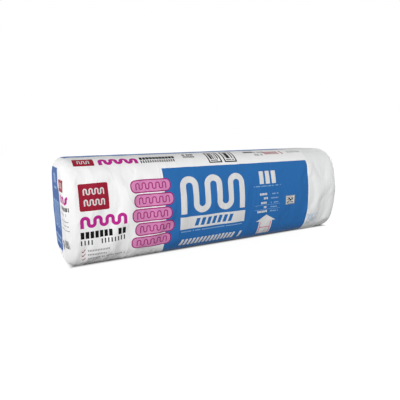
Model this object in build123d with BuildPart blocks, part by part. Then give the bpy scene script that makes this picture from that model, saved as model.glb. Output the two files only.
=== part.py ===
"""A bag of folded glass wool batts, lying on its underside. Sizes are in millimetres.

Eight batts, each folded once across its length, stand side by side and are pressed
together front to back. A bag of plastic film holds them. The pressed wool swells the
front and the back of the bag, while the batts' cut edges keep its top and underside flat.
The left end is smooth. The right end is closed by two flaps, which are folded down from
the top and up from the underside, and by the welded seam that joins them.

X runs along the bag from its left end to its right end, Y from its front to its back and
Z upwards. The origin is the middle of the underside.
"""

import math
import os

from build123d import *

# The packed bag.
bag_length = 1220
bag_height = 375
bag_depth = 345
side_crown = 45
top_edge_radius = 98
bottom_edge_radius = 84
left_end_radius = 35
right_end_radius = 52

# The film, and how the right end is closed.
film = 1.0
flap_margin = 4
flap_edge_length = 112
seam_layers = 2
seam_length = 214
seam_width = 28
seam_corner_radius = 6

# The batts, each folded once so that it has two layers and a fold at the left end.
batt_count = 8
batt_gap = 0.3
fold_slit = 1.0
fold_wall = 19
fold_roundness = 0.8
fold_end_gap = 3

left_end = -bag_length / 2
right_end = bag_length / 2 - film * (1 + seam_layers)
edge_depth = bag_depth / 2 - side_crown
middle_height = bag_height / 2
flap_top = bag_height - right_end_radius - flap_margin
flap_bottom = right_end_radius + flap_margin
batt_inset = film + batt_gap
fold_face = left_end + batt_inset + fold_end_gap
fold_radius = fold_roundness * edge_depth / batt_count
clear_of_bag = bag_depth


def swollen_edge(share, shift=0):
    """Draws an upright line of the section that swells as the bag's sides do.

    share runs from -1 at the bag's front to 1 at its back, and the line is straight at
    the middle. shift moves it towards the back.
    """
    foot = (share * edge_depth + shift, 0)
    middle = (share * (edge_depth + side_crown) + shift, middle_height)
    head = (share * edge_depth + shift, bag_height)
    if math.isclose(share, 0, abs_tol=1e-6):
        return Line(foot, head)
    return ThreePointArc(foot, middle, head)


def swollen_outline(front, back):
    """Draws an outline of the section between two upright lines and closes it."""
    front_edge = swollen_edge(*front)
    back_edge = swollen_edge(*back)
    Line(front_edge @ 0, back_edge @ 0)
    Line(front_edge @ 1, back_edge @ 1)


def packed_form(inset):
    """The packed bag as a solid, drawn in by inset on every side."""
    with BuildPart() as form:
        with BuildSketch(Plane.YZ.offset(left_end + inset)) as section:
            with BuildLine():
                swollen_outline(front=(-1,), back=(1,))
            make_face()
            fillet(section.vertices().group_by(Axis.Y)[0], bottom_edge_radius)
            fillet(section.vertices().group_by(Axis.Y)[-1], top_edge_radius)
            offset(amount=-inset)
        extrude(amount=right_end - left_end - 2 * inset)
        fillet(form.faces().sort_by(Axis.X)[0].edges(), left_end_radius - inset)
        fillet(form.faces().sort_by(Axis.X)[-1].edges(), right_end_radius - inset)
    return form.part


outer_form = packed_form(0)
inner_form = packed_form(film)
batt_form = packed_form(batt_inset)

with BuildPart() as film_bag:
    add(outer_form)

    # The two flaps meet along the seam.
    with BuildSketch(Plane.YZ.offset(right_end)):
        with BuildLine():
            Polyline(
                (-seam_length / 2, middle_height),
                (-flap_edge_length / 2, flap_top),
                (flap_edge_length / 2, flap_top),
                (seam_length / 2, middle_height),
                (flap_edge_length / 2, flap_bottom),
                (-flap_edge_length / 2, flap_bottom),
                close=True,
            )
        make_face()
    extrude(amount=film)

    # The seam's fin hangs down from the line where the flaps meet.
    with BuildSketch(Plane.YZ.offset(right_end + film)):
        with Locations((0, middle_height - seam_width / 2)):
            RectangleRounded(seam_length, seam_width, seam_corner_radius)
    extrude(amount=film * seam_layers)

    add(inner_form, mode=Mode.SUBTRACT)
film_bag.part.label = "film_bag"

pieces = [film_bag.part]

layers = [2 * k / batt_count - 1 for k in range(batt_count + 1)]
for number, (front_share, back_share) in enumerate(zip(layers, layers[1:]), start=1):
    front_shift = batt_gap / 2
    back_shift = -batt_gap / 2
    if number == 1:
        front_shift = -clear_of_bag
    if number == batt_count:
        back_shift = clear_of_bag
    middle_share = (front_share + back_share) / 2

    with BuildPart() as batt:
        with BuildSketch(Plane.YZ.offset(fold_face)):
            with BuildLine():
                swollen_outline(
                    front=(front_share, front_shift),
                    back=(back_share, back_shift),
                )
            make_face()
        extrude(amount=bag_length)
        fold_edges = batt.faces().sort_by(Axis.X)[0].edges()
        upright_edges = fold_edges.filter_by(lambda edge: edge.bounding_box().size.Z > middle_height)
        fillet(upright_edges, fold_radius)

        with BuildSketch(Plane.YZ.offset(fold_face + fold_wall)):
            with BuildLine():
                swollen_outline(
                    front=(middle_share, -fold_slit / 2),
                    back=(middle_share, fold_slit / 2),
                )
            make_face()
        extrude(amount=bag_length, mode=Mode.SUBTRACT)
        add(batt_form, mode=Mode.INTERSECT)
    batt.part.label = f"batt_{number}"
    pieces.append(batt.part)

os.makedirs("parts", exist_ok=True)
for piece in pieces:
    export_step(piece, f"parts/{piece.label}.step")
    print(piece.label, round(piece.volume), piece.bounding_box().size)
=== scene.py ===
"""A bag of folded glass wool batts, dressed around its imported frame. Sizes are in metres.

The film bag is one closed mesh in the form of the frame's bag, and a cloth simulation lets
its film buckle. Two flaps and a welded seam close its right end. The print is drawn by the
film's material, in coordinates that are stored as a UV map in metres: along the bag and
round its girth, or across an end and up it.
"""

import inspect
import math

import bpy
import numpy as np
from mathutils import Matrix, Vector, noise
from mathutils.bvhtree import BVHTree


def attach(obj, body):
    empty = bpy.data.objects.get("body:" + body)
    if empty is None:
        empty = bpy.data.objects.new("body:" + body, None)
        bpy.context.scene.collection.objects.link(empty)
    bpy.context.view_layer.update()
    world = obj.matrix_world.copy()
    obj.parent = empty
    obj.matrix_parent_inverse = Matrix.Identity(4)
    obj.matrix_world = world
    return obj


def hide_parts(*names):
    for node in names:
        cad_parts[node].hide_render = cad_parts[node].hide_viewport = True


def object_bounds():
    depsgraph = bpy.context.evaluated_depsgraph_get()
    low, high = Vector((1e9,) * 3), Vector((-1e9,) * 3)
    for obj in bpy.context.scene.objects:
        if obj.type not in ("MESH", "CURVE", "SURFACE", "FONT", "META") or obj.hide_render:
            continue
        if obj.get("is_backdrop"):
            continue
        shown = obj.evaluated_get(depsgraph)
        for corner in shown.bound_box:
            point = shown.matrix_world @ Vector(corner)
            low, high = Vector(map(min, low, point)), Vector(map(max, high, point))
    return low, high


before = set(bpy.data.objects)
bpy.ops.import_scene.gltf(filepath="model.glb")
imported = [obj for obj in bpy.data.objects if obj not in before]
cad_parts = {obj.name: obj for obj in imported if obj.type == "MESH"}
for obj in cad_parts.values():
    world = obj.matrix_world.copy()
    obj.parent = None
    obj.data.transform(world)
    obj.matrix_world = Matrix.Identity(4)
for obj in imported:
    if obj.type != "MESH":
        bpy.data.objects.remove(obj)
cad_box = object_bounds()

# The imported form, as in the frame.
LENGTH = 1.220
HEIGHT = 0.375
DEPTH = 0.345
SIDE_CROWN = 0.045
TOP_RADIUS = 0.098
BOTTOM_RADIUS = 0.084
LEFT_RADIUS = 0.035
RIGHT_RADIUS = 0.052
FILM = 0.001
SEAM_LAYERS = 2

LEFT = -LENGTH / 2
RIGHT = LENGTH / 2 - FILM * (1 + SEAM_LAYERS)
MIDDLE = HEIGHT / 2

# The film's mesh: the cells across and up the ends, and along the barrel.
CELLS_ACROSS = 16
CELLS_UP = 20
CELLS_ALONG = 64
LEFT_ROWS = 4
RIGHT_ROWS = 5
RING = 2 * (CELLS_ACROSS + CELLS_UP)

# Where the ends lie in the UV map, beside the barrel.
END_SHIFT = 3.0


def arc_points(centre, radius, start, end, count=200):
    """Points of an arc in the section, as rows of y and z."""
    angles = np.linspace(start, end, count)
    return np.column_stack([
        centre[0] + radius * np.cos(angles),
        centre[1] + radius * np.sin(angles),
    ])


def section_arcs():
    """The radius of the swollen side, and the centres of its arc and of the two corners'."""
    radius = (MIDDLE**2 + SIDE_CROWN**2) / (2 * SIDE_CROWN)
    side = (radius - DEPTH / 2, MIDDLE)

    def corner(corner_radius, z):
        reach = math.sqrt((radius - corner_radius) ** 2 - (z - MIDDLE) ** 2)
        return (side[0] - reach, z)

    return radius, side, corner(BOTTOM_RADIUS, BOTTOM_RADIUS), corner(TOP_RADIUS, HEIGHT - TOP_RADIUS)


SIDE_RADIUS, SIDE_CENTRE, LOW_CENTRE, HIGH_CENTRE = section_arcs()


def front_section():
    """The front half of the section, from the middle of the underside to that of the top."""
    turn = 2 * math.pi
    low_angle = math.atan2(LOW_CENTRE[1] - MIDDLE, LOW_CENTRE[0] - SIDE_CENTRE[0])
    high_angle = math.atan2(HIGH_CENTRE[1] - MIDDLE, HIGH_CENTRE[0] - SIDE_CENTRE[0]) - turn
    return np.vstack([
        [(0.0, 0.0)],
        arc_points(LOW_CENTRE, BOTTOM_RADIUS, -turn / 4, low_angle),
        arc_points(SIDE_CENTRE, SIDE_RADIUS, low_angle, high_angle)[1:],
        arc_points(HIGH_CENTRE, TOP_RADIUS, high_angle, -3 * turn / 4)[1:],
        [(0.0, HEIGHT)],
    ])


def section_gap(y, z):
    """How far places lie outside the section, and the way outwards there, in y and z."""
    back = np.where(y < 0, -1, 1)
    front_y = -np.abs(y)

    def from_arc(centre, radius):
        away = np.column_stack([front_y - centre[0], z - centre[1]])
        reach = np.linalg.norm(away, axis=1)
        return reach - radius, away / reach[:, None]

    rise = (z - MIDDLE) / (SIDE_CENTRE[0] - front_y)
    high_rise = (HIGH_CENTRE[1] - MIDDLE) / (SIDE_CENTRE[0] - HIGH_CENTRE[0])
    low_rise = (LOW_CENTRE[1] - MIDDLE) / (SIDE_CENTRE[0] - LOW_CENTRE[0])
    gap, out = from_arc(SIDE_CENTRE, SIDE_RADIUS)
    parts = (
        (rise > high_rise, HIGH_CENTRE, TOP_RADIUS, z - HEIGHT, 1),
        (rise < low_rise, LOW_CENTRE, BOTTOM_RADIUS, -z, -1),
    )
    for here, centre, radius, flat_gap, way in parts:
        corner_gap, corner_out = from_arc(centre, radius)
        in_corner = here & (front_y < centre[0])
        flat = here & ~in_corner
        gap = np.where(in_corner, corner_gap, np.where(flat, flat_gap, gap))
        out = np.where(in_corner[:, None], corner_out, out)
        out[flat] = (0, way)
    out[:, 0] *= -back
    return gap, out


def form_gap(places):
    """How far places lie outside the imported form, and the way outwards there."""
    x, y, z = places.T
    across, out = section_gap(y, z)
    way = np.where(x < 0, -1, 1)
    radius = np.where(x < 0, LEFT_RADIUS, RIGHT_RADIUS)
    beyond = way * (x - np.where(x < 0, LEFT, RIGHT)) + radius
    across = across + radius
    in_end = np.maximum(beyond, 0)
    in_side = np.maximum(across, 0)
    reach = np.hypot(in_end, in_side)
    gap = reach - radius + np.minimum(np.maximum(beyond, across), 0)
    share = np.maximum(reach, 1e-9)
    outward = np.column_stack([way * in_end / share, (in_side / share)[:, None] * out])
    return gap, outward


def section_ring():
    """Points round the whole section at even steps, their outward normals and their girth."""
    half = front_section()
    outline = np.vstack([half, (half * (-1, 1))[::-1][1:]])
    reach = np.concatenate([[0], np.cumsum(np.linalg.norm(np.diff(outline, axis=0), axis=1))])
    girth = np.linspace(0, reach[-1], RING + 1)
    points = np.column_stack([np.interp(girth, reach, outline[:, k]) for k in range(2)])[:-1]
    along = np.roll(points, -1, axis=0) - np.roll(points, 1, axis=0)
    normals = np.column_stack([along[:, 1], -along[:, 0]]) * -1
    normals /= np.linalg.norm(normals, axis=1)[:, None]
    return points, normals, girth


def stations():
    """Each ring's place along the bag, how far it is drawn in, and its length along the film."""
    rows = []
    for k in range(LEFT_ROWS):
        turn = math.pi / 2 * k / LEFT_ROWS
        rows.append((
            LEFT + LEFT_RADIUS * (1 - math.cos(turn)),
            LEFT_RADIUS * (1 - math.sin(turn)),
            LEFT + LEFT_RADIUS - LEFT_RADIUS * (math.pi / 2 - turn),
        ))
    for x in np.linspace(LEFT + LEFT_RADIUS, RIGHT - RIGHT_RADIUS, CELLS_ALONG + 1):
        rows.append((x, 0.0, x))
    for k in range(1, RIGHT_ROWS + 1):
        turn = math.pi / 2 * k / RIGHT_ROWS
        rows.append((
            RIGHT - RIGHT_RADIUS * (1 - math.sin(turn)),
            RIGHT_RADIUS * (1 - math.cos(turn)),
            RIGHT - RIGHT_RADIUS + RIGHT_RADIUS * turn,
        ))
    return rows


def patch_grid(ring, first):
    """The grid of vertex numbers over an end, and the places of its inner vertices.

    ring holds the border's places, and first is the number that the first inner vertex
    gets. The border's four sides are blended into each other over the patch.
    """
    half = CELLS_ACROSS // 2
    across = np.arange(CELLS_ACROSS + 1)
    up = np.arange(CELLS_UP + 1)
    bottom = (half - across) % RING
    top = half + CELLS_UP + across
    front = half + up
    back = (-half - up) % RING

    a = (across / CELLS_ACROSS)[:, None, None]
    b = (up / CELLS_UP)[None, :, None]
    corners = ring[bottom[0]], ring[bottom[-1]], ring[top[0]], ring[top[-1]]
    blend = (
        (1 - b) * ring[bottom][:, None] + b * ring[top][:, None]
        + (1 - a) * ring[front][None] + a * ring[back][None]
        - (1 - a) * (1 - b) * corners[0] - a * (1 - b) * corners[1]
        - (1 - a) * b * corners[2] - a * b * corners[3]
    )
    inner = blend[1:-1, 1:-1]
    numbers = np.empty((CELLS_ACROSS + 1, CELLS_UP + 1), int)
    numbers[1:-1, 1:-1] = first + np.arange(inner.shape[0] * inner.shape[1]).reshape(inner.shape[:2])
    numbers[:, 0], numbers[:, -1] = bottom, top
    numbers[0, :], numbers[-1, :] = front, back
    return numbers, inner.reshape(-1, 3)


def add_object(name, data):
    """Adds an object that shows data to the scene."""
    added = bpy.data.objects.new(name, data)
    bpy.context.collection.objects.link(added)
    return added


def film_mesh(name, places, faces, uvs):
    """A smooth mesh, with a UV map that holds uvs for the corners of its faces in turn."""
    mesh = bpy.data.meshes.new(name)
    mesh.from_pydata(places.tolist(), [], faces)
    layer = mesh.uv_layers.new(name="film")
    layer.data.foreach_set("uv", np.array(uvs, dtype=np.float32).ravel())
    mesh.shade_smooth()
    mesh.update()
    return mesh


def packed_mesh(name):
    """The film bag's mesh in its packed form, with its UV map."""
    section, normals, girth = section_ring()
    rows = stations()
    rings = []
    for x, inset, reach in rows:
        ring = section - inset * normals
        rings.append(np.column_stack([np.full(RING, x), ring]))
    barrel = np.vstack(rings)
    left_grid, left_inner = patch_grid(rings[0], len(barrel))
    right_grid, right_inner = patch_grid(rings[-1], len(barrel) + len(left_inner))
    right_border = (len(rows) - 1) * RING
    for side in (np.s_[:, 0], np.s_[:, -1], np.s_[0, 1:-1], np.s_[-1, 1:-1]):
        right_grid[side] += right_border
    places = np.vstack([barrel, left_inner, right_inner])

    faces = []
    uvs = []
    for row in range(len(rows) - 1):
        on_left_end = row < LEFT_ROWS // 2
        for i in range(RING):
            j = (i + 1) % RING
            face = (row * RING + i, (row + 1) * RING + i, (row + 1) * RING + j, row * RING + j)
            faces.append(face)
            if on_left_end:
                uvs.extend((places[v][1] - END_SHIFT, places[v][2]) for v in face)
            else:
                uvs.extend([
                    (rows[row][2], girth[i]),
                    (rows[row + 1][2], girth[i]),
                    (rows[row + 1][2], girth[i + 1]),
                    (rows[row][2], girth[i + 1]),
                ])
    for grid, shift, turned in ((left_grid, -END_SHIFT, False), (right_grid, END_SHIFT, True)):
        for a in range(CELLS_ACROSS):
            for b in range(CELLS_UP):
                face = [grid[a, b], grid[a, b + 1], grid[a + 1, b + 1], grid[a + 1, b]]
                if turned:
                    face.reverse()
                faces.append(tuple(face))
                uvs.extend((places[v][1] + shift, places[v][2]) for v in face)
    return film_mesh(name, places, faces, uvs)


def rows_of(items, name):
    """What name holds for each of a mesh's items, as rows of three."""
    flat = np.empty(len(items) * 3, dtype=np.float32)
    items.foreach_get(name, flat)
    return flat.reshape(-1, 3).astype(float)


def move_vertices(mesh, places):
    """Moves the mesh's vertices to places."""
    mesh.vertices.foreach_set("co", places.astype(np.float32).ravel())
    mesh.update()


# How the film buckles: its slack along the bag, how firmly the wool holds it, and how far
# it may move. Most of its folds stand out from the wool, which it hardly presses in.
LEFT_SLACK = 0.030
MIDDLE_SLACK = 0.012
RIGHT_SLACK = 0.035
HOLD = 0.26
END_HOLD = 0.9
FLOOR_HOLD = 1.0
FLOOR_LEVEL = 0.001
SHORTEN_FRAMES = 8
SIM_FRAMES = 16
START_BUMPS = 0.001
START_BUMP_SIZE = 0.03
FOLD_SHIFT = 0.0022
MOST_OUT = 0.009
WOOL_DEPTH = 0.0005
CLOTH = {
    "quality": 5,
    "mass": 0.1,
    "tension_stiffness": 15,
    "compression_stiffness": 15,
    "shear_stiffness": 5,
    "bending_stiffness": 8,
}

# How far the loose film reaches from the left and the right end, and over what length it
# grows tight: for its slack, and for the share of its folds that is kept.
SLACK_REACH = (0.40, 0.22)
SLACK_FADE = (0.15, 0.08)
FOLD_REACH = (0.46, 0.26)
FOLD_FADE = (0.16, 0.10)
MIDDLE_FOLDS = 0.40
MORE_AT_ENDS = 0.85
FEWER_ON_TOP = 0.93

# The finer creases, which come and go in patches.
CREASE_HEIGHT = 0.0030
CREASE_SIZE = (0.026, 0.16, 0.13)
CREASE_NARROWNESS = 4.2
CREASE_SHARPNESS = 1.5
CREASE_LEAN = 0.30
CREASE_WANDER = 0.012
WANDER_SIZE = 0.09
PATCH_SIZE = 0.14
PATCH_MEAN = 0.35
PATCH_CONTRAST = 1.4

# Each use of the noise has a seed of its own.
BUMP_SEED = 4
CREASE_SEED = 6
PATCH_SEED = 8
WANDER_SEED = 11
SEED_STEP = (3.7, 1.9, 5.3)


def soft_noise(places, size, seed):
    """Smooth random numbers from -1 to 1 at places, which change over about size."""
    shift = Vector([seed * step for step in SEED_STEP])
    scaled = places / np.array(size, dtype=np.float32)
    return np.array([noise.noise(Vector(place) + shift) for place in scaled])


def near_ends(x, reach, fade):
    """How near places along the bag are to its left and its right end, from 0 to 1."""
    near_left = np.clip((LEFT + reach[0] - x) / fade[0], 0, 1)
    near_right = np.clip((x - RIGHT + reach[1]) / fade[1], 0, 1)
    return near_left, near_right


def slack_along(x):
    """The film's slack at places along the bag, which is most near its ends."""
    near_left, near_right = near_ends(x, SLACK_REACH, SLACK_FADE)
    return (
        MIDDLE_SLACK
        + (LEFT_SLACK - MIDDLE_SLACK) * near_left
        + (RIGHT_SLACK - MIDDLE_SLACK) * near_right
    )


def cut_places(base, normals):
    """Where the film's vertices are before the wool draws it in: further apart, and uneven."""
    x = np.linspace(LEFT, RIGHT, 400)
    slack = slack_along(x)
    shift = np.concatenate([[0], np.cumsum((slack[1:] + slack[:-1]) / 2 * np.diff(x))])
    shift -= shift.mean()
    places = base + START_BUMPS * soft_noise(base, START_BUMP_SIZE, BUMP_SEED)[:, None] * normals
    places[:, 0] += np.interp(base[:, 0], x, shift)
    return places


def add_weights(bag, name, values):
    """Adds a vertex group that holds a value for each vertex."""
    group = bag.vertex_groups.new(name=name)
    for number, value in enumerate(values.tolist()):
        group.add([number], value, "REPLACE")


def fold_share(places, normals):
    """How much of the folds is kept: less over the middle and the top, where the film is taut."""
    share = MIDDLE_FOLDS + MORE_AT_ENDS * np.maximum(*near_ends(places[:, 0], FOLD_REACH, FOLD_FADE))
    return share * (1 - FEWER_ON_TOP * np.maximum(normals[:, 2], 0))


def key_cut(bag, base, normals):
    """Keys the bag's shape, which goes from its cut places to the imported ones."""
    bag.shape_key_add(name="packed")
    cut = bag.shape_key_add(name="cut")
    cut.data.foreach_set("co", cut_places(base, normals).astype(np.float32).ravel())
    cut.value = 1
    cut.keyframe_insert("value", frame=1)
    cut.value = 0
    cut.keyframe_insert("value", frame=1 + SHORTEN_FRAMES)


def simulated_places(bag):
    """Where the bag's vertices lie after a cloth simulation, of which nothing stays on it."""
    scene = bpy.context.scene
    cloth = bag.modifiers.new("film", "CLOTH")
    for name, value in CLOTH.items():
        setattr(cloth.settings, name, value)
    cloth.settings.vertex_group_mass = "hold"
    cloth.settings.effector_weights.gravity = 0
    cloth.collision_settings.use_collision = False
    cloth.point_cache.frame_start = 1
    cloth.point_cache.frame_end = SIM_FRAMES
    for number in range(1, SIM_FRAMES + 1):
        scene.frame_set(number)
    graph = bpy.context.evaluated_depsgraph_get()
    places = rows_of(bag.evaluated_get(graph).data.vertices, "co")
    bag.modifiers.remove(cloth)
    bag.shape_key_clear()
    bag.vertex_groups.clear()
    scene.frame_set(1)
    return places


def buckle(bag):
    """Lets the film buckle in a cloth simulation, as it is drawn in to the wool's length."""
    base = rows_of(bag.data.vertices, "co")
    normals = rows_of(bag.data.vertex_normals, "vector")
    on_floor = base[:, 2] < FLOOR_LEVEL
    on_end = np.abs(normals[:, 0]) > 0.5
    key_cut(bag, base, normals)
    add_weights(bag, "hold", np.where(on_floor, FLOOR_HOLD, np.where(on_end, END_HOLD, HOLD)))

    moved = simulated_places(bag) - base
    lift = (moved * normals).sum(axis=1)
    side = moved - lift[:, None] * normals
    lift = MOST_OUT * np.tanh((lift + FOLD_SHIFT) * fold_share(base, normals) / MOST_OUT)
    lift[on_floor] = 0
    side[on_floor] = 0
    move_vertices(bag.data, base + side + lift[:, None] * normals)


def subdivided(bag):
    """Divides the bag's mesh once, smoothly."""
    divide = bag.modifiers.new("divide", "SUBSURF")
    divide.levels = 1
    divide.render_levels = 1
    graph = bpy.context.evaluated_depsgraph_get()
    mesh = bpy.data.meshes.new_from_object(bag.evaluated_get(graph))
    bag.modifiers.remove(divide)
    old = bag.data
    bag.data = mesh
    bpy.data.meshes.remove(old)


def crease(bag):
    """Adds the film's finer creases, which run round the bag and lean a little."""
    places = rows_of(bag.data.vertices, "co")
    normals = rows_of(bag.data.vertex_normals, "vector")
    leaning = places.copy()
    leaning[:, 0] -= CREASE_LEAN * places[:, 2]
    leaning += CREASE_WANDER * soft_noise(places, WANDER_SIZE, WANDER_SEED)[:, None]
    ridges = soft_noise(leaning, CREASE_SIZE, CREASE_SEED)
    ridges = np.clip(1 - np.abs(ridges) * CREASE_NARROWNESS, 0, 1) ** CREASE_SHARPNESS
    patches = np.clip(PATCH_MEAN + PATCH_CONTRAST * soft_noise(places, PATCH_SIZE, PATCH_SEED), 0, 1)
    lift = CREASE_HEIGHT * ridges * patches * fold_share(places, normals)
    lift[places[:, 2] < 2 * FLOOR_LEVEL] = 0
    move_vertices(bag.data, places + lift[:, None] * normals)


def rest_on_wool(bag):
    """Moves what lies too deep out to the wool's face, and what lies too low up to the floor."""
    places = rows_of(bag.data.vertices, "co")
    gap, outward = form_gap(places)
    places += np.maximum(-WOOL_DEPTH - gap, 0)[:, None] * outward
    places[:, 2] = np.maximum(places[:, 2], 0)
    move_vertices(bag.data, places)


film_bag = add_object("bag_of_film", packed_mesh("bag_of_film"))
buckle(film_bag)
subdivided(film_bag)
crease(film_bag)
subdivided(film_bag)
rest_on_wool(film_bag)


# The right end: two flaps, folded down from the top and up from the underside, and the
# welded seam that joins them.
FLAP_MARGIN = 0.004
FLAP_EDGE = 0.112
FLAP_WAIST = 0.008
FLAP_WAVER = 0.004
FLAP_WAVER_TURNS = 5
FLAP_LIFT = 0.0016
FLAP_SLOPE = 0.004
FLAP_TUCK = 0.0004
FLAP_HEM_LIFT = 0.0015
FLAP_HEM_WIDTH = 0.012
FLAP_UNDERLAP = 0.0008
FLAP_CELLS = (72, 44)

SEAM_LENGTH = 0.214
SEAM_WIDTH = 0.028
SEAM_HALF_FILM = 0.0007
SEAM_RISE = 0.003
SEAM_OFF = 0.0030
SEAM_STAND = 0.0035
SEAM_STAND_RANGE = 0.0045
SEAM_CURL = 1.5
SEAM_CELLS = (96, 14)
WELD_HEIGHT = 0.0006
WELD_LINES = 7
WELD_START = 0.12
WELD_END = 0.62

# Their ripples: each one's height, and how far apart its waves are across and up the end.
FINE_GATHER = (0.0019, 0.0095, 0.09)
BROAD_GATHER = (0.0030, 0.028, 0.12)
GATHER_FADE = 0.05
FOOT_WAVER = (0.0022, 0.05)
STAND_WAVER = 0.045
SEAM_RIPPLE = (0.0006, 0.008, 1.25)


def end_surface(bag):
    """Gives the x of the bag's right end at a place across it and up it."""
    tree = BVHTree.FromPolygons(
        [vertex.co.copy() for vertex in bag.data.vertices],
        [tuple(face.vertices) for face in bag.data.polygons],
    )

    def end_x(y, z):
        hit = tree.ray_cast(Vector((LENGTH, y, z)), Vector((-1, 0, 0)))[0]
        return hit.x

    return end_x


def ripple(across, up, seed, height, across_size=1.0, up_size=1.0):
    """A soft wave of a given height, which changes over its two sizes."""
    return height * noise.noise(Vector((across / across_size, up / up_size, seed)))


def gathers(y, height, seed):
    """Small folds that start at the weld and die out away from it."""
    folds = ripple(y, height, seed, *FINE_GATHER) + ripple(y, height, seed + 9, *BROAD_GATHER)
    return folds * math.exp(-height / GATHER_FADE)


def add_slab(name, cells, point):
    """Adds a thin closed piece on the right end, in cells across it and along it.

    point takes a place's shares of both ways, and gives its outer x, its inner x, y and z.
    """
    grid = np.array([
        [point(a / cells[0], b / cells[1]) for b in range(cells[1] + 1)]
        for a in range(cells[0] + 1)
    ])
    numbers = np.arange(grid[..., 0].size).reshape(grid.shape[:2])
    back = numbers + numbers.size
    faces = []
    for a in range(cells[0]):
        for b in range(cells[1]):
            faces.append((numbers[a, b], numbers[a + 1, b], numbers[a + 1, b + 1], numbers[a, b + 1]))
            faces.append((back[a, b], back[a, b + 1], back[a + 1, b + 1], back[a + 1, b]))
    border = [*numbers[:, 0], *numbers[-1, 1:], *numbers[-2::-1, -1], *numbers[0, -2:0:-1]]
    for one, other in zip(border, border[1:] + border[:1]):
        faces.append((other, one, one + numbers.size, other + numbers.size))

    points = grid.reshape(-1, 4)
    places = np.vstack([points[:, [0, 2, 3]], points[:, 1:]])
    uvs = places[:, 1:] + (END_SHIFT, 0)
    mesh = film_mesh(name, places, faces, [uvs[v] for face in faces for v in face])
    return add_object(name, mesh)


def end_flap(name, end_x, side, seed):
    """One flap over the right end: side is 1 for the upper one and -1 for the lower one."""
    far = HEIGHT - RIGHT_RADIUS - FLAP_MARGIN if side > 0 else RIGHT_RADIUS + FLAP_MARGIN

    def point(share, up):
        across = side * (2 * share - 1)
        waist = FLAP_WAIST + ripple(up * FLAP_WAVER_TURNS, side * across, seed, FLAP_WAVER)
        half = SEAM_LENGTH / 2 + (FLAP_EDGE - SEAM_LENGTH) / 2 * up
        half -= waist * math.sin(math.pi * up)
        y = half * across
        z = MIDDLE + (far - MIDDLE) * up
        x = end_x(y, z)
        inwards = (1 - abs(across)) * half
        edge = min(1.0, min(inwards, (1 - up) * abs(far - MIDDLE)) / FLAP_SLOPE)
        lift = FLAP_LIFT + gathers(y, abs(z - MIDDLE), seed)
        lift += FLAP_HEM_LIFT * math.exp(-((inwards / FLAP_HEM_WIDTH) ** 2))
        off = lift * math.sin(edge * math.pi / 2) - FLAP_TUCK * (1 - edge)
        return x + off, x - FLAP_UNDERLAP, y, z

    return add_slab(name, FLAP_CELLS, point)


def end_seam(name, seed):
    """The welded seam's fin, which hangs down over the lower flap from the middle line."""
    def point(share, up):
        down = 1 - up
        y = SEAM_LENGTH * (share - 0.5)
        foot = ripple(y, 3, seed, *FOOT_WAVER)
        stand = SEAM_STAND + SEAM_STAND_RANGE * (0.5 + ripple(y, 7, seed, 1, STAND_WAVER))
        z = MIDDLE + SEAM_RISE - (SEAM_WIDTH + foot) * down
        off = SEAM_OFF + stand * down**SEAM_CURL
        welded = WELD_START < down < WELD_END
        weld = WELD_HEIGHT * math.cos(2 * math.pi * WELD_LINES * down) if welded else 0.0
        x = RIGHT + off + ripple(y, down, seed + 4, *SEAM_RIPPLE)
        return x + SEAM_HALF_FILM + weld, x - SEAM_HALF_FILM, y, z

    return add_slab(name, SEAM_CELLS, point)


end_x = end_surface(film_bag)
closure = [
    end_flap("upper_flap", end_x, 1, 2.0),
    end_flap("lower_flap", end_x, -1, 5.0),
    end_seam("welded_seam", 8.0),
]


class Shader:
    """A node tree whose nodes are added by short calls, each giving the socket it ends in."""

    def __init__(self, tree):
        self.tree = tree

    def node(self, kind, **values):
        """A new node with the settings in values."""
        node = self.tree.nodes.new(kind)
        for name, value in values.items():
            setattr(node, name, value)
        return node

    def put(self, socket, value):
        """Leads another socket into this one, or sets its value."""
        if isinstance(value, bpy.types.NodeSocket):
            self.tree.links.new(value, socket)
        else:
            socket.default_value = value

    def feed(self, node, values):
        """Leads or sets the node's inputs that values names."""
        for name, value in values.items():
            self.put(node.inputs[name], value)

    def math(self, operation, *values):
        """One operation on sockets and numbers."""
        node = self.node("ShaderNodeMath", operation=operation)
        for socket, value in zip(node.inputs, values):
            self.put(socket, value)
        return node.outputs[0]

    def either(self, *masks):
        """1 where any mask is 1."""
        whole = masks[0]
        for mask in masks[1:]:
            whole = self.math("MAXIMUM", whole, mask)
        return whole

    def both(self, *masks):
        """1 where every mask is 1."""
        whole = masks[0]
        for mask in masks[1:]:
            whole = self.math("MULTIPLY", whole, mask)
        return whole

    def length(self, side, rise):
        """The length of the way that goes side across and rise up."""
        squares = [self.math("MULTIPLY", part, part) for part in (side, rise)]
        return self.math("SQRT", self.math("ADD", *squares))

    def between(self, value, end, low, high, course="LINEAR"):
        """Goes from low to high as value goes from 0 to end."""
        node = self.node("ShaderNodeMapRange", interpolation_type=course)
        self.feed(node, {"Value": value, "From Max": end, "To Min": low, "To Max": high})
        return node.outputs["Result"]

    def paint(self, under, mask, colour):
        """under, with colour over it where mask is 1."""
        mix = self.node("ShaderNodeMix", data_type="RGBA")
        self.put(mix.inputs["Factor"], mask)
        colours = [socket for socket in mix.inputs if socket.type == "RGBA"]
        for socket, value in zip(colours, (under, colour)):
            self.put(socket, value)
        return next(socket for socket in mix.outputs if socket.type == "RGBA")


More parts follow.
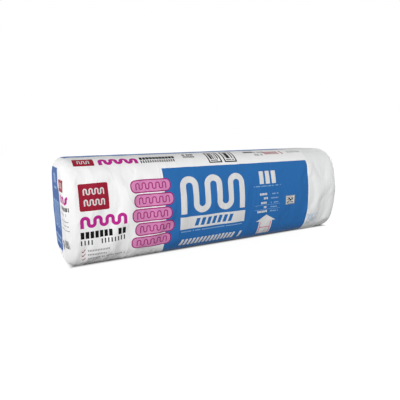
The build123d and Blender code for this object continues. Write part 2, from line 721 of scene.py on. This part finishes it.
def grouped(build):
    """Has build's nodes made once, as a group, which each call then uses.

    build takes a shader and the group's inputs, and gives the socket with the mask.
    """
    names = list(inspect.signature(build).parameters)[1:]

    def make_tree():
        tree = bpy.data.node_groups.new(build.__name__, "ShaderNodeTree")
        for name in names:
            tree.interface.new_socket(name, in_out="INPUT", socket_type="NodeSocketFloat")
        tree.interface.new_socket("mask", in_out="OUTPUT", socket_type="NodeSocketFloat")
        shader = Shader(tree)
        given = shader.node("NodeGroupInput").outputs
        mask = build(shader, *(given[name] for name in names))
        shader.put(shader.node("NodeGroupOutput").inputs["mask"], mask)
        return tree

    def use(shader, *values):
        tree = bpy.data.node_groups.get(build.__name__) or make_tree()
        node = shader.node("ShaderNodeGroup", node_tree=tree)
        for name, value in zip(names, values):
            shader.put(node.inputs[name], value)
        return node.outputs["mask"]

    return use


# What makes chance look random.
CHANCE_TURN = 2.399
CHANCE_SEED = 517.0
CHANCE_SPREAD = 437.5

# The share that stays bare, and the step from one row of a speckle to the next.
BARCODE_BARE = 0.36
SPECKLE_BARE = 0.5
SPECKLE_ROW = 31.0

# A tick's foot, the slopes of its strokes and half their thickness, in its own size.
TICK_FOOT = 0.35
TICK_FALL = -0.9
TICK_RISE = 1.3
TICK_HALF_STROKE = 0.17

# The shapes of the print. Each is 1 inside and 0 outside.


@grouped
def box(shader, x, y, left, right, bottom, top):
    """A rectangle."""
    sides = []
    for value, low, high in ((x, left, right), (y, bottom, top)):
        middle = shader.math("MULTIPLY", shader.math("ADD", low, high), 0.5)
        half = shader.math("MULTIPLY", shader.math("SUBTRACT", high, low), 0.5)
        sides.append(shader.math("COMPARE", value, middle, half))
    return shader.both(*sides)


@grouped
def border(shader, x, y, left, right, bottom, top, line):
    """The outline of a rectangle, drawn inside it."""
    inside = box(
        shader, x, y,
        shader.math("ADD", left, line),
        shader.math("SUBTRACT", right, line),
        shader.math("ADD", bottom, line),
        shader.math("SUBTRACT", top, line),
    )
    return shader.math("SUBTRACT", box(shader, x, y, left, right, bottom, top), inside)


@grouped
def rounded(shader, x, y, left, right, bottom, top, radius):
    """A rectangle with rounded corners."""
    beyond = []
    for value, low, high in ((x, left, right), (y, bottom, top)):
        before = shader.math("SUBTRACT", shader.math("ADD", low, radius), value)
        after = shader.math("ADD", shader.math("SUBTRACT", value, high), radius)
        beyond.append(shader.math("MAXIMUM", shader.math("MAXIMUM", before, after), 0.0))
    return shader.math("LESS_THAN", shader.length(*beyond), radius)


@grouped
def gable(shader, x, y, middle, half, bottom, top):
    """A triangle that stands on its longest side."""
    away = shader.math("ABSOLUTE", shader.math("SUBTRACT", x, middle))
    slope = shader.math("DIVIDE", half, shader.math("SUBTRACT", top, bottom))
    reach = shader.math("MULTIPLY", shader.math("SUBTRACT", top, y), slope)
    return shader.both(shader.math("LESS_THAN", away, reach), shader.math("GREATER_THAN", y, bottom))


@grouped
def chance(shader, cell, seed):
    """A number from 0 to 1 that looks random, for each whole number in cell."""
    seed_turn = shader.math("MULTIPLY", seed, CHANCE_SEED)
    turn = shader.math("SINE", shader.math("MULTIPLY_ADD", cell, CHANCE_TURN, seed_turn))
    return shader.math("FRACT", shader.math("MULTIPLY", turn, CHANCE_SPREAD))


@grouped
def bars(shader, x, y, left, bottom, top, step, count, share, fill, lean):
    """A row of upright or leaning bars, some left out at random, in the place of words."""
    slid = shader.math("SUBTRACT", x, left)
    slid = shader.math("SUBTRACT", slid, shader.math("MULTIPLY", shader.math("SUBTRACT", y, bottom), lean))
    steps = shader.math("DIVIDE", slid, step)
    seed = shader.math("ADD", left, bottom)
    return shader.both(
        box(shader, steps, y, 0.0, count, bottom, top),
        shader.math("LESS_THAN", shader.math("FRACT", steps), share),
        shader.math("LESS_THAN", chance(shader, shader.math("FLOOR", steps), seed), fill),
    )


@grouped
def barcode(shader, x, y, left, right, bottom, top, bar):
    """Upright bars of random widths."""
    cell = shader.math("FLOOR", shader.math("DIVIDE", x, bar))
    return shader.both(
        box(shader, x, y, left, right, bottom, top),
        shader.math("GREATER_THAN", chance(shader, cell, left), BARCODE_BARE),
    )


@grouped
def speckle(shader, x, y, left, right, bottom, top, cell):
    """Small squares at random."""
    column = shader.math("FLOOR", shader.math("DIVIDE", x, cell))
    row = shader.math("FLOOR", shader.math("DIVIDE", y, cell))
    square = shader.math("MULTIPLY_ADD", row, SPECKLE_ROW, column)
    return shader.both(
        box(shader, x, y, left, right, bottom, top),
        shader.math("GREATER_THAN", chance(shader, square, left), SPECKLE_BARE),
    )


@grouped
def wave(shader, x, y, left, bottom, top, step, turns, stroke):
    """A looping line of even stroke, the usual sign for insulation in a drawing.

    It makes turns whole loops and half a loop more, so that both its ends point down.
    left is the middle of its first leg.
    """
    half = shader.math("MULTIPLY", stroke, 0.5)
    radius = shader.math("MULTIPLY", step, 0.25)
    inset = shader.math("ADD", half, radius)
    middle = shader.math("MULTIPLY", shader.math("ADD", bottom, top), 0.5)
    along = shader.math("SUBTRACT", x, left)
    length = shader.math("MULTIPLY", step, shader.math("ADD", turns, 0.5))
    before = shader.math("SUBTRACT", 0.0, half)
    after = shader.math("ADD", length, half)

    def loops(shift, rise):
        cell = shader.math("FRACT", shader.math("ADD", shader.math("DIVIDE", along, step), shift))
        side = shader.math("MULTIPLY", shader.math("SUBTRACT", cell, 0.5), step)
        reach = shader.length(side, shader.math("MAXIMUM", rise, 0.0))
        return shader.math("COMPARE", reach, radius, half)

    upper = loops(0.25, shader.math("SUBTRACT", y, shader.math("SUBTRACT", top, inset)))
    lower = loops(0.75, shader.math("SUBTRACT", shader.math("ADD", bottom, inset), y))
    return shader.either(
        shader.both(upper, box(shader, along, y, before, after, middle, top)),
        shader.both(lower, box(shader, along, y, 0.0, length, bottom, middle)),
        box(shader, along, y, before, half, bottom, middle),
        box(shader, along, y, shader.math("SUBTRACT", length, half), after, bottom, middle),
    )


@grouped
def tick(shader, x, y, left, bottom, size):
    """A short stroke down and a longer one up."""
    across = shader.math("DIVIDE", shader.math("SUBTRACT", x, left), size)
    up = shader.math("DIVIDE", shader.math("SUBTRACT", y, bottom), size)
    from_foot = shader.math("SUBTRACT", across, TICK_FOOT)
    fall = shader.math("MULTIPLY", from_foot, TICK_FALL)
    rise = shader.math("MULTIPLY", from_foot, TICK_RISE)
    stroke = shader.math("COMPARE", up, shader.math("MAXIMUM", fall, rise), TICK_HALF_STROKE)
    return shader.both(stroke, box(shader, across, up, 0.0, 1.0, -0.2, 1.0))


class Print:
    """The print's colour, which grows ink by ink. x runs along it and y up it, in metres."""

    def __init__(self, shader, x, y, colour):
        self.shader = shader
        self.x = x
        self.y = y
        self.colour = colour

    def ink(self, colour, *shapes):
        """Prints shapes in one colour, each given as its kind and its sizes."""
        masks = [kind(self.shader, self.x, self.y, *sizes) for kind, *sizes in shapes]
        self.colour = self.shader.paint(self.colour, self.shader.either(*masks), colour)


def row(left, bottom, top, step, count, share=0.7, fill=0.9, lean=0.0):
    """A row of bars as a shape to print.

    Each bar takes share of its step, and fill is the share of the bars that are printed.
    """
    return (bars, left, bottom, top, step, count, share, fill, lean)


def colour_of(red, green, blue):
    """A colour given as the numbers that a picture of it holds, from 0 to 255."""
    def linear(value):
        share = value / 255
        return share / 12.92 if share <= 0.04045 else ((share + 0.055) / 1.055) ** 2.4
    return (linear(red), linear(green), linear(blue), 1.0)


WHITE = colour_of(236, 236, 236)
MILKY = colour_of(227, 228, 228)
BLUE = colour_of(46, 105, 168)
# The left end's blue is a darker copy of the panels' blue: painted shade on the end face.
END_BLUE = colour_of(22, 78, 146)
DARK_RED = colour_of(150, 34, 54)
MAGENTA = colour_of(180, 42, 138)
PINK = colour_of(208, 132, 178)
DEEP_PINK = colour_of(152, 30, 108)
ROSE = colour_of(206, 110, 140)
BLACK = colour_of(20, 20, 22)
GREY = colour_of(150, 150, 152)
LIGHT_GREY = colour_of(214, 214, 214)
PALE_BLUE = colour_of(144, 176, 212)
FAINT_BLUE = colour_of(196, 210, 226)

# The print on the barrel, along the bag and round its girth from the middle of the
# underside up the front. The back's print is turned round and sits higher.
GIRTH = 1.2305
PANEL_LEFT = -0.270
PANEL_RIGHT = 0.415
PANEL_TOP = 0.454
PANEL_BOTTOM = -0.015
BARE_FROM = 0.424
BACK_PANEL = (-0.280, 0.705, 0.025, 0.511)
BACK_SHIFT = 0.120
BACK_RISE = 0.145

# The small table on a panel: where each row starts and stands, and where they all end.
TABLE_ROWS = ((0.150, 0.317), (0.162, 0.299), (0.157, 0.280), (0.172, 0.261), (0.140, 0.243))
TABLE_RIGHT = 0.190
TABLE_STEP = 0.0075

# The small house on a panel.
HOUSE_MIDDLE = 0.190
HOUSE_EAVES = 0.204
HOUSE_FOOT = 0.138
HOUSE_HALF = 0.034
ROOF_HALF = 0.050
ROOF_HEIGHT = 0.028
WALL = 0.005
LINING = 0.004

# The stack of batts beside a panel.
BATTS = 5
BATT_LEFT = -0.396
BATT_SHIFT = 0.010
BATT_LENGTH = 0.152
BATT_BOTTOM = 0.166
BATT_STEP = 0.051
BATT_HEIGHT = 0.047
BATT_LINE = 0.004
BATT_RADIUS = 0.020

# The two labels on the top.
LABELS_LEFT = (-0.066, 0.004)
LABEL_WIDTH = 0.058
LABEL_MARGIN = 0.011

# The lines of small marks on the back, from the highest downwards.
NOTE_LINES = 9
NOTE_BOTTOM = 0.365
NOTE_HEIGHT = 0.007
NOTE_DROP = 0.022


# The prints. A shape's sizes come in the order of its function's arguments, after x and y.


def panel_print(sheet):
    """The light print on a blue panel."""
    sheet.ink(LIGHT_GREY, (wave, -0.196, 0.277, 0.418, 0.1036, 2, 0.024), (box, -0.211, 0.078, 0.217, 0.265))
    sheet.ink(BLUE, row(-0.150, 0.226, 0.256, 0.0248, 7, share=0.62, fill=1.0, lean=0.3))
    sheet.ink(PALE_BLUE, row(-0.205, 0.205, 0.209, 0.0055, 50))
    sheet.ink(LIGHT_GREY, row(-0.207, 0.142, 0.173, 0.0165, 17, share=0.62, fill=0.85, lean=0.3))
    sheet.ink(LIGHT_GREY, row(0.151, 0.364, 0.417, 0.031, 3, share=0.68, fill=1.0))
    sheet.ink(PALE_BLUE, row(0.122, 0.353, 0.3565, 0.0045, 31, share=0.75))
    for left, bottom in TABLE_ROWS:
        count = round((TABLE_RIGHT - left) / TABLE_STEP)
        sheet.ink(LIGHT_GREY, row(left, bottom, bottom + 0.009, TABLE_STEP, count, share=0.75))
        sheet.ink(PALE_BLUE, row(0.207, bottom + 0.001, bottom + 0.006, 0.005, 8))
    sheet.ink(PALE_BLUE, (box, 0.125, 0.257, 0.2745, 0.2755), (box, 0.125, 0.257, 0.2555, 0.2565))
    small_label(sheet)
    house(sheet)


def small_label(sheet):
    """A pale square with a dark border and fine dark marks."""
    sheet.ink(LIGHT_GREY, (box, 0.286, 0.337, 0.265, 0.305))
    sheet.ink(GREY, (border, 0.286, 0.337, 0.265, 0.305, 0.004))
    sheet.ink(BLACK, (speckle, 0.293, 0.330, 0.271, 0.299, 0.0031))


def house(sheet):
    """A plain house with its walls and its ceiling insulated."""
    left, right = HOUSE_MIDDLE - HOUSE_HALF, HOUSE_MIDDLE + HOUSE_HALF
    roof = (gable, HOUSE_MIDDLE, ROOF_HALF, HOUSE_EAVES, HOUSE_EAVES + ROOF_HEIGHT)
    sheet.ink(LIGHT_GREY, roof, (box, left, right, HOUSE_FOOT, HOUSE_EAVES))
    inner_left, inner_right = left + WALL, right - WALL
    top = HOUSE_EAVES - LINING
    ceiling = HOUSE_FOOT + HOUSE_HALF
    sheet.ink(
        ROSE,
        (box, inner_left, inner_left + LINING, HOUSE_FOOT, top),
        (box, inner_right - LINING, inner_right, HOUSE_FOOT, top),
        (box, inner_left, inner_right, ceiling, ceiling + LINING),
    )


def front_print(sheet):
    """The print on the white film to the left of the blue panel."""
    sheet.ink(DARK_RED, (rounded, -0.568, -0.472, 0.327, 0.417, 0.006))
    sheet.ink(
        LIGHT_GREY,
        (wave, -0.552, 0.379, 0.401, 0.0183, 3, 0.0042),
        (wave, -0.552, 0.343, 0.365, 0.0183, 3, 0.0042),
    )
    sheet.ink(MAGENTA, (wave, -0.564, 0.270, 0.310, 0.0410, 3, 0.0115))
    sheet.ink(
        BLACK,
        row(-0.570, 0.234, 0.258, 0.0155, 10, share=0.74, fill=0.95),
        row(-0.570, 0.211, 0.228, 0.0111, 14, share=0.36, fill=0.95),
    )
    for bottom, count in ((0.184, 14), (0.168, 12), (0.151, 25)):
        sheet.ink(DARK_RED, (tick, -0.568, bottom, 0.012))
        sheet.ink(GREY, row(-0.548, bottom + 0.001, bottom + 0.008, 0.0052, count, share=0.65))


def batt_stack(sheet):
    """A stack of pink batts, drawn over the edge of the blue panel."""
    for number in range(BATTS):
        left = BATT_LEFT + BATT_SHIFT * (number % 2)
        right = left + BATT_LENGTH
        bottom = BATT_BOTTOM + BATT_STEP * number
        top = bottom + BATT_HEIGHT
        inside = (left + BATT_LINE, right - BATT_LINE, bottom + BATT_LINE, top - BATT_LINE)
        loops = (left + 0.020, bottom + 0.011, top - 0.011, 0.0249, 4, 0.0036)
        sheet.ink(DEEP_PINK, (rounded, left, right, bottom, top, BATT_RADIUS))
        sheet.ink(PINK, (rounded, *inside, BATT_RADIUS - BATT_LINE))
        sheet.ink(DEEP_PINK, (wave, *loops))


def top_print(sheet):
    """The print on the white strip along the top."""
    sheet.ink(DARK_RED, (rounded, -0.572, -0.502, 0.481, 0.521, 0.004))
    sheet.ink(LIGHT_GREY, (wave, -0.556, 0.492, 0.511, 0.0151, 2, 0.0030))
    sheet.ink(MAGENTA, (wave, -0.482, 0.482, 0.515, 0.0366, 3, 0.0128))
    sheet.ink(
        BLACK,
        row(-0.338, 0.501, 0.518, 0.0125, 11, share=0.86, fill=0.95),
        row(-0.338, 0.483, 0.497, 0.0090, 15, share=0.55, fill=0.95),
        row(-0.170, 0.517, 0.531, 0.0060, 9, share=0.85),
        row(-0.165, 0.501, 0.512, 0.0060, 8, share=0.70),
        row(0.121, 0.517, 0.531, 0.0070, 7, share=0.9),
    )
    sheet.ink(
        GREY,
        row(0.170, 0.512, 0.526, 0.0060, 9),
        row(0.165, 0.492, 0.505, 0.0060, 7),
        row(0.344, 0.505, 0.520, 0.0070, 11, share=0.5, fill=0.75),
    )
    sheet.ink(DARK_RED, row(0.222, 0.498, 0.521, 0.0110, 9, share=0.6, fill=0.75, lean=-0.4))
    for left in LABELS_LEFT:
        right = left + LABEL_WIDTH
        sheet.ink(
            BLACK,
            (border, left, right, 0.466, 0.538, 0.0056),
            (barcode, left + LABEL_MARGIN, right - LABEL_MARGIN, 0.486, 0.528, 0.0027),
            row(left + LABEL_MARGIN, 0.475, 0.482, 0.0040, 9),
        )


def left_end_print(sheet):
    """The print on the left end, across the bag and up from its underside."""
    # The end's blue block is printed darker than the panels' blue, as painted shade on the end face.
    sheet.ink(END_BLUE, (box, -0.050, 0.150, 0.042, 0.342))
    sheet.ink(
        PALE_BLUE,
        row(0.006, 0.285, 0.320, 0.0150, 4, share=0.6, fill=1.0),
        row(0.006, 0.262, 0.272, 0.006, 10),
        row(-0.020, 0.082, 0.092, 0.006, 21),
        row(-0.020, 0.062, 0.072, 0.006, 21),
    )
    sheet.ink(PALE_BLUE, (wave, -0.015, 0.118, 0.222, 0.0460, 2, 0.0080))
    sheet.ink(DARK_RED, (rounded, -0.130, -0.068, 0.266, 0.306, 0.004))
    sheet.ink(LIGHT_GREY, (wave, -0.117, 0.277, 0.296, 0.0145, 2, 0.0028))
    sheet.ink(MAGENTA, (wave, -0.165, 0.227, 0.255, 0.0266, 3, 0.0085))
    sheet.ink(BLACK, row(-0.165, 0.206, 0.219, 0.0095, 10, share=0.74, fill=0.95))
    sheet.ink(
        GREY,
        row(-0.165, 0.189, 0.199, 0.0070, 13, share=0.4),
        row(-0.158, 0.170, 0.174, 0.0040, 20),
        row(-0.158, 0.155, 0.159, 0.0040, 17),
        row(-0.158, 0.140, 0.144, 0.0040, 21),
    )
    sheet.ink(
        BLACK,
        (barcode, -0.094, -0.060, 0.064, 0.096, 0.0022),
        (barcode, -0.150, -0.112, 0.078, 0.106, 0.0022),
    )


def right_end_print(sheet):
    """Two faint lines of packing marks on the upper flap."""
    sheet.ink(
        GREY,
        row(-0.040, 0.248, 0.257, 0.0062, 14, share=0.5),
        row(-0.040, 0.234, 0.243, 0.0062, 11, share=0.5),
    )


def back_print(sheet):
    """The print on the back: a blue panel, the batts and lines of small marks."""
    sheet.ink(BLUE, (box, *BACK_PANEL))
    panel_print(sheet)
    batt_stack(sheet)
    notes = []
    for line in range(NOTE_LINES):
        bottom = NOTE_BOTTOM - NOTE_DROP * line
        notes.append(row(0.420, bottom, bottom + NOTE_HEIGHT, 0.0075, 30))
    sheet.ink(PALE_BLUE, *notes)


def film_print(shader):
    """The whole print's colour."""
    place = shader.node("ShaderNodeUVMap", uv_map="film")
    parts = shader.node("ShaderNodeSeparateXYZ")
    shader.put(parts.inputs[0], place.outputs["UV"])
    along, around = parts.outputs[0], parts.outputs[1]
    bare = shader.math("GREATER_THAN", along, BARE_FROM)

    turned = shader.math("SUBTRACT", BACK_SHIFT, along)
    up_back = shader.math("SUBTRACT", GIRTH - BACK_RISE, around)
    back = Print(shader, turned, up_back, shader.paint(WHITE, bare, MILKY))
    back_print(back)

    front = Print(shader, along, around, back.colour)
    front.ink(
        BLUE,
        (box, PANEL_LEFT, PANEL_RIGHT, PANEL_BOTTOM, PANEL_TOP),
        (box, PANEL_LEFT, PANEL_RIGHT, GIRTH + PANEL_BOTTOM, GIRTH + 0.01),
    )
    panel_print(front)
    front_print(front)
    batt_stack(front)
    top_print(front)
    front.ink(FAINT_BLUE, (speckle, 0.419, 0.484, 0.157, 0.210, 0.0065))

    left_end = Print(shader, shader.math("ADD", along, END_SHIFT), around, front.colour)
    left_end_print(left_end)
    right_end = Print(shader, shader.math("SUBTRACT", along, END_SHIFT), around, left_end.colour)
    right_end_print(right_end)
    return right_end.colour


def surface_shader(name):
    """A new material, and the shader of its tree."""
    material = bpy.data.materials.new(name)
    material.use_nodes = True
    return material, Shader(material.node_tree)


def stretched_noise(shader, stretch, detail, roughness):
    """Noise in the object's own coordinates, with stretch turns per metre along x, y and z."""
    mapping = shader.node("ShaderNodeMapping")
    coordinates = shader.node("ShaderNodeTexCoord").outputs["Object"]
    shader.feed(mapping, {"Vector": coordinates, "Scale": stretch})
    texture = shader.node("ShaderNodeTexNoise")
    shader.feed(texture, {"Vector": mapping.outputs["Vector"], "Scale": 1.0})
    shader.feed(texture, {"Detail": detail, "Roughness": roughness})
    return texture.outputs["Fac"]


# The relief of the film and of the wool, with its turns per metre along x, y and z.
CREASE_TURNS = (17, 8, 8)
CREASE_POWER = 9.0
FINE_TURNS = (130, 60, 60)
FINE_SHARE = 0.15
FIBRE_TURNS = (90, 90, 90)
BUMP_DEPTH = 0.003
FILM_BUMP = 0.4
WOOL_BUMP = 0.8
DARK_WOOL = colour_of(206, 120, 158)
LIGHT_WOOL = colour_of(244, 190, 212)


def film_relief(shader):
    """The height of sharp creases and, between them, of the film's fine unevenness."""
    broad = stretched_noise(shader, CREASE_TURNS, 2.0, 0.5)
    off_crease = shader.math("ABSOLUTE", shader.math("MULTIPLY_ADD", broad, 2.0, -1.0))
    crease = shader.math("POWER", shader.math("SUBTRACT", 1.0, off_crease), CREASE_POWER)
    fine = stretched_noise(shader, FINE_TURNS, 3.0, 0.55)
    return shader.math("MULTIPLY_ADD", fine, FINE_SHARE, crease)


def bumped(shader, height, strength):
    """The surface's normals with the relief in height."""
    node = shader.node("ShaderNodeBump")
    shader.feed(node, {"Height": height, "Strength": strength, "Distance": BUMP_DEPTH})
    return node.outputs["Normal"]


def film_material():
    """White polyethylene film with its print, a soft gloss and fine creases."""
    material, shader = surface_shader("printed_film")
    shader.feed(shader.tree.nodes["Principled BSDF"], {
        "Base Color": film_print(shader),
        "Normal": bumped(shader, film_relief(shader), FILM_BUMP),
        "Specular IOR Level": 0.04,
        "Roughness": 0.45,
    })
    return material


def wool_material():
    """Pink glass wool, uneven in colour and matted."""
    material, shader = surface_shader("pink_glass_wool")
    fibres = stretched_noise(shader, FIBRE_TURNS, 8.0, 0.5)
    ramp = shader.node("ShaderNodeValToRGB")
    ramp.color_ramp.elements[0].color = DARK_WOOL
    ramp.color_ramp.elements[1].color = LIGHT_WOOL
    shader.put(ramp.inputs["Fac"], fibres)
    shader.feed(shader.tree.nodes["Principled BSDF"], {
        "Base Color": ramp.outputs["Color"],
        "Normal": bumped(shader, fibres, WOOL_BUMP),
        "Roughness": 0.95,
    })
    return material


film = film_material()
for piece in (film_bag, *closure):
    piece.data.materials.append(film)
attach(film_bag, "root")
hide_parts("film_bag")
for piece in closure:
    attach(piece, "root")

wool = wool_material()
for name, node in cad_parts.items():
    if name.startswith("batt_"):
        for slot in node.material_slots:
            slot.material = wool


# The floor reaches far out. It glows white to the eye, a little less near the bag, which is painted shade,
# and not at all under it, which is a painted shadow; the grey floor beneath keeps the bag's real shadow too.
FLOOR_REACH = 12.0
FLOOR_GREY = (0.12, 0.12, 0.12, 1)
FLOOR_GLOW = 0.935
WHITE_FROM = 2.5
CONTACT_LENGTH = 1.16
CONTACT_DEPTH = 0.168
CONTACT_FADE = 0.030

# The soft light from all round, and each lamp's name, place, size and power.
SOFT_LIGHT = 0.08
LAMP_TARGET = (0, 0, 0.2)
LAMPS = (
    ("key", (-5.6, -10.2, 4.0), 4.0, 1560),
    ("side", (-3.3, 2.3, 0.7), 1.8, 85),
    ("fill", (4.1, 1.2, 0.9), 3.2, 135),
)


def seen_mask(shader):
    """1 for the rays by which the camera sees a place, directly, mirrored or through glass."""
    paths = shader.node("ShaderNodeLightPath").outputs
    return shader.either(*(paths[name] for name in ("Is Camera Ray", "Is Glossy Ray", "Is Transmission Ray")))


def plain_floor():
    """A floor that renders white, with a painted shadow round the bag's foot, darkest where the two meet,
    over the real shadow that it keeps.
    """
    mesh = bpy.data.meshes.new("floor")
    corners = [(x * FLOOR_REACH, y * FLOOR_REACH, 0) for x, y in ((-1, -1), (1, -1), (1, 1), (-1, 1))]
    mesh.from_pydata(corners, [], [(0, 1, 2, 3)])
    floor = add_object("floor", mesh)

    material, shader = surface_shader("floor")
    surface = shader.tree.nodes["Principled BSDF"]
    shader.feed(surface, {"Base Color": FLOOR_GREY, "Roughness": 1.0, "Specular IOR Level": 0.0})
    parts = shader.node("ShaderNodeSeparateXYZ")
    shader.put(parts.inputs[0], shader.node("ShaderNodeTexCoord").outputs["Object"])
    beyond = []
    for value, size in zip(parts.outputs, (CONTACT_LENGTH, CONTACT_DEPTH)):
        beyond.append(shader.math("SUBTRACT", shader.math("ABSOLUTE", value), size / 2))
    away = shader.math("MAXIMUM", *beyond)
    # Painted shadow: no glow under the bag's foot, fading in just outside it.
    contact = shader.between(away, CONTACT_FADE, 0.0, 1.0, "SMOOTHSTEP")
    # Painted shade: the glow is dimmer near the bag and full white further out.
    whiter = shader.between(away, WHITE_FROM, FLOOR_GLOW, 1.0)
    glow = shader.node("ShaderNodeEmission")
    shader.put(glow.inputs["Strength"], shader.both(contact, whiter, seen_mask(shader)))
    both = shader.node("ShaderNodeAddShader")
    shader.put(both.inputs[0], surface.outputs[0])
    shader.put(both.inputs[1], glow.outputs[0])
    shader.put(shader.tree.nodes["Material Output"].inputs["Surface"], both.outputs[0])
    mesh.materials.append(material)
    floor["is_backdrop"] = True


def white_world():
    """White where the camera and reflections see it, and a plain soft light elsewhere."""
    world = bpy.data.worlds.new("studio")
    bpy.context.scene.world = world
    world.use_nodes = True
    shader = Shader(world.node_tree)
    back = world.node_tree.nodes["Background"]
    light = shader.between(seen_mask(shader), 1.0, SOFT_LIGHT, 1.0)
    shader.feed(back, {"Color": (1, 1, 1, 1), "Strength": light})


def area_lamp(name, place, size, power):
    """A soft square lamp that faces the bag."""
    light = bpy.data.lights.new(name, "AREA")
    light.shape = "SQUARE"
    light.size = size
    light.energy = power
    lamp = add_object(name, light)
    lamp.location = place
    way = Vector(LAMP_TARGET) - Vector(place)
    lamp.rotation_euler = way.to_track_quat("-Z", "Y").to_euler()


plain_floor()
white_world()
for name, place, size, power in LAMPS:
    area_lamp(name, place, size, power)

# The camera, at the photograph's place.
CAMERA_AZIMUTH = math.radians(-27.78)
CAMERA_ELEVATION = math.radians(9.47)
CAMERA_ROLL = math.radians(-1.01)
CAMERA_DISTANCE = 1.630
CAMERA_TARGET = Vector((-0.038, 0.0, 0.171))
CAMERA_LENS = 34.2
SENSOR_WIDTH = 36.0


def photo_camera():
    """The camera that took the photograph, as fitted to its outline."""
    back = Vector((
        math.sin(CAMERA_AZIMUTH) * math.cos(CAMERA_ELEVATION),
        -math.cos(CAMERA_AZIMUTH) * math.cos(CAMERA_ELEVATION),
        math.sin(CAMERA_ELEVATION),
    ))
    level = Vector((0, 0, 1)).cross(back).normalized()
    upright = back.cross(level)
    right = math.cos(CAMERA_ROLL) * level + math.sin(CAMERA_ROLL) * upright
    up = math.cos(CAMERA_ROLL) * upright - math.sin(CAMERA_ROLL) * level
    lens = bpy.data.cameras.new("camera")
    lens.lens = CAMERA_LENS
    lens.sensor_width = SENSOR_WIDTH
    lens.sensor_fit = "HORIZONTAL"
    camera = add_object("camera", lens)
    turn = Matrix((right, up, back)).transposed().to_4x4()
    camera.matrix_world = Matrix.Translation(CAMERA_TARGET + CAMERA_DISTANCE * back) @ turn
    bpy.context.scene.camera = camera


photo_camera()
bpy.context.scene.view_settings.view_transform = "Standard"

boxes = {"cad": cad_box, "visual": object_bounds()}
